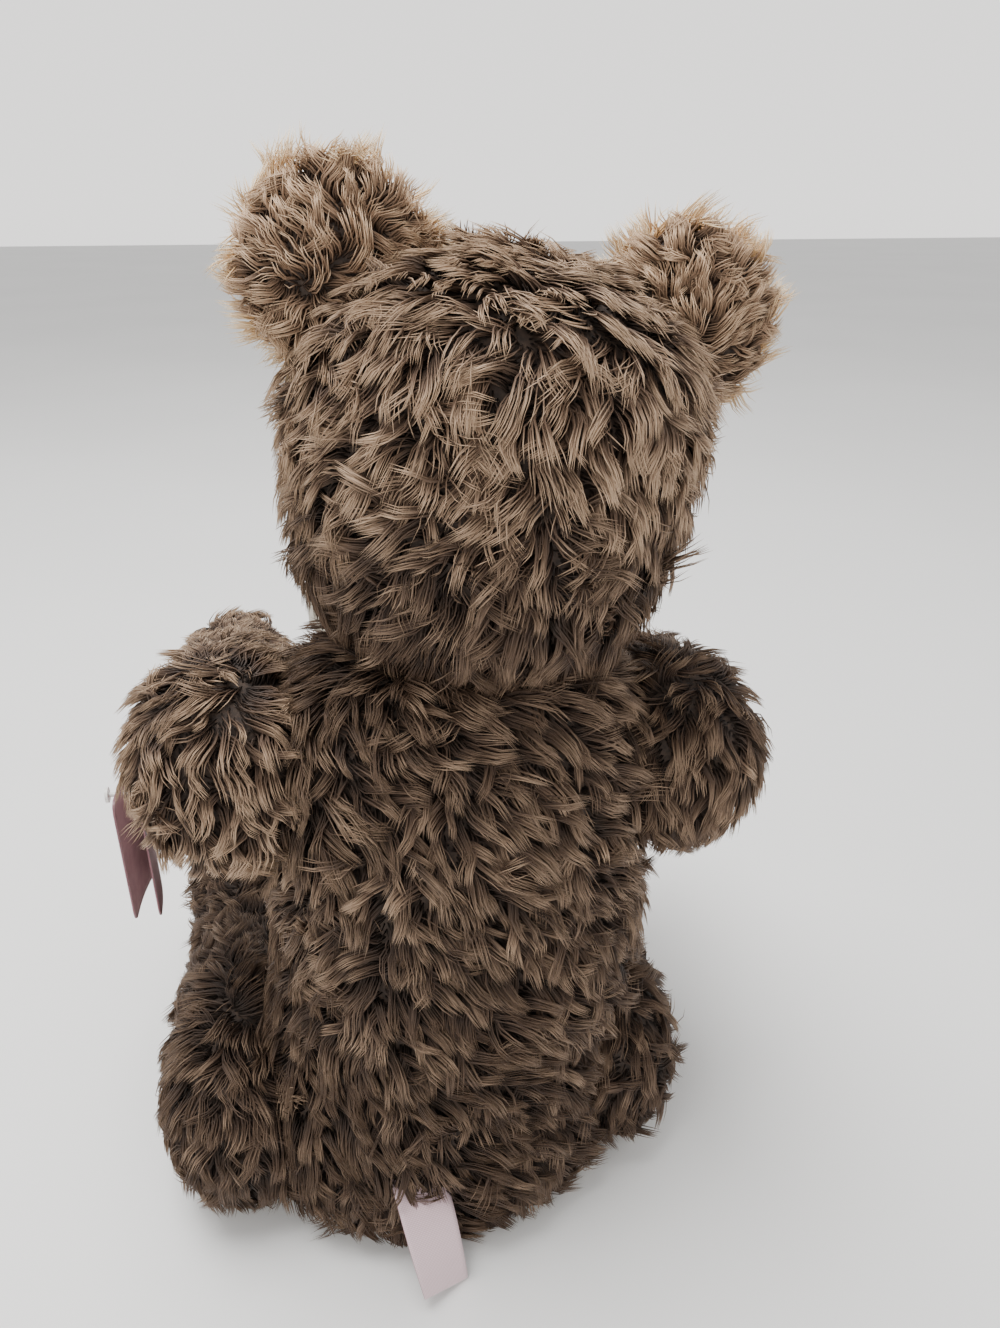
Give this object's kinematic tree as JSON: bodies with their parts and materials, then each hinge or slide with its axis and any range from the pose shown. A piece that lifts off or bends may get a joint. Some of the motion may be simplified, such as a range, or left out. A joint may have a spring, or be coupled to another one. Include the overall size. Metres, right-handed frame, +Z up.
{
  "type": "jointed teddy bear",
  "caption": "Sitting plush bear with disc joints at neck, shoulders and hips, golden-faced ears, ribbon bow, sewn label and swing tag.",
  "frame": {"origin": "centre of the flat seat, on the surface the bear sits on", "axes": "+Z up, the bear faces -Y, its left side is +X"},
  "size_m": [0.17, 0.1617, 0.2603],
  "materials": {
    "brown_plush": "matte",
    "golden_plush": "matte",
    "stuffing": "matte",
    "suede": "matte",
    "fibreboard": "matte",
    "white_plastic": "satin",
    "zinc_steel": "satin",
    "eye_plastic": "gloss",
    "black_thread": "satin",
    "cream_ribbon": "satin",
    "label_satin": "satin",
    "clear_nylon": "gloss",
    "printed_card": "satin"
  },
  "bodies": {
    "torso": {"torso_cover": "brown_plush", "torso_stuffing": "stuffing", "torso_washers": "zinc_steel", "neck_torso_disc": "fibreboard", "left_shoulder_torso_disc": "fibreboard", "right_shoulder_torso_disc": "fibreboard", "left_hip_torso_disc": "fibreboard", "right_hip_torso_disc": "fibreboard", "sewn_label": "label_satin", "neck_ribbon": "cream_ribbon", "ribbon_bow": "cream_ribbon"},
    "head": {"head_cover": "brown_plush", "muzzle_cover": "golden_plush", "head_stuffing": "stuffing", "left_ear_back": "brown_plush", "left_ear_front": "golden_plush", "right_ear_back": "brown_plush", "right_ear_front": "golden_plush", "left_eye": "eye_plastic", "right_eye": "eye_plastic", "eye_washers": "white_plastic", "nose": "black_thread", "mouth_stitch": "black_thread", "head_disc": "fibreboard", "neck_bolt": "zinc_steel", "neck_washer": "zinc_steel", "neck_nut": "zinc_steel"},
    "left_arm": {"left_arm_cover": "brown_plush", "left_arm_stuffing": "stuffing", "left_paw_pad": "suede", "left_arm_disc": "fibreboard", "left_shoulder_bolt": "zinc_steel", "left_shoulder_washer": "zinc_steel", "left_shoulder_nut": "zinc_steel", "tag_fastener": "clear_nylon"},
    "right_arm": {"right_arm_cover": "brown_plush", "right_arm_stuffing": "stuffing", "right_paw_pad": "suede", "right_arm_disc": "fibreboard", "right_shoulder_bolt": "zinc_steel", "right_shoulder_washer": "zinc_steel", "right_shoulder_nut": "zinc_steel"},
    "left_leg": {"left_leg_cover": "brown_plush", "left_leg_stuffing": "stuffing", "left_foot_pad": "suede", "left_leg_disc": "fibreboard", "left_hip_bolt": "zinc_steel", "left_hip_washer": "zinc_steel", "left_hip_nut": "zinc_steel"},
    "right_leg": {"right_leg_cover": "brown_plush", "right_leg_stuffing": "stuffing", "right_foot_pad": "suede", "right_leg_disc": "fibreboard", "right_hip_bolt": "zinc_steel", "right_hip_washer": "zinc_steel", "right_hip_nut": "zinc_steel"},
    "swing_tag": {"swing_tag": "printed_card"}
  },
  "joints": [
    {"name": "neck_turn", "type": "hinge", "parent": "torso", "child": "head", "pos_m": [-0.01432, -0.004, 0.158], "axis": [-0.1564, 0, 0.9877], "continuous": true},
    {"name": "left_shoulder", "type": "hinge", "parent": "torso", "child": "left_arm", "pos_m": [0.02878, -0.002, 0.13617], "axis": [-0.9959, 0, -0.0906], "range_deg": [-10, 75]},
    {"name": "right_shoulder", "type": "hinge", "parent": "torso", "child": "right_arm", "pos_m": [-0.05289, -0.002, 0.12874], "axis": [-0.9959, 0, -0.0906], "range_deg": [-10, 75]},
    {"name": "left_hip", "type": "hinge", "parent": "torso", "child": "left_leg", "pos_m": [0.04, -0.002, 0.027], "axis": [-1, 0, 0], "range_deg": [-90, 10]},
    {"name": "right_hip", "type": "hinge", "parent": "torso", "child": "right_leg", "pos_m": [-0.04, -0.002, 0.027], "axis": [-1, 0, 0], "range_deg": [-90, 10]},
    {"name": "tag_swing", "type": "hinge", "parent": "left_arm", "child": "swing_tag", "pos_m": [0.075, -0.043, 0.103], "axis": [1, 0, 0], "range_deg": [-50, 50]}
  ]
}
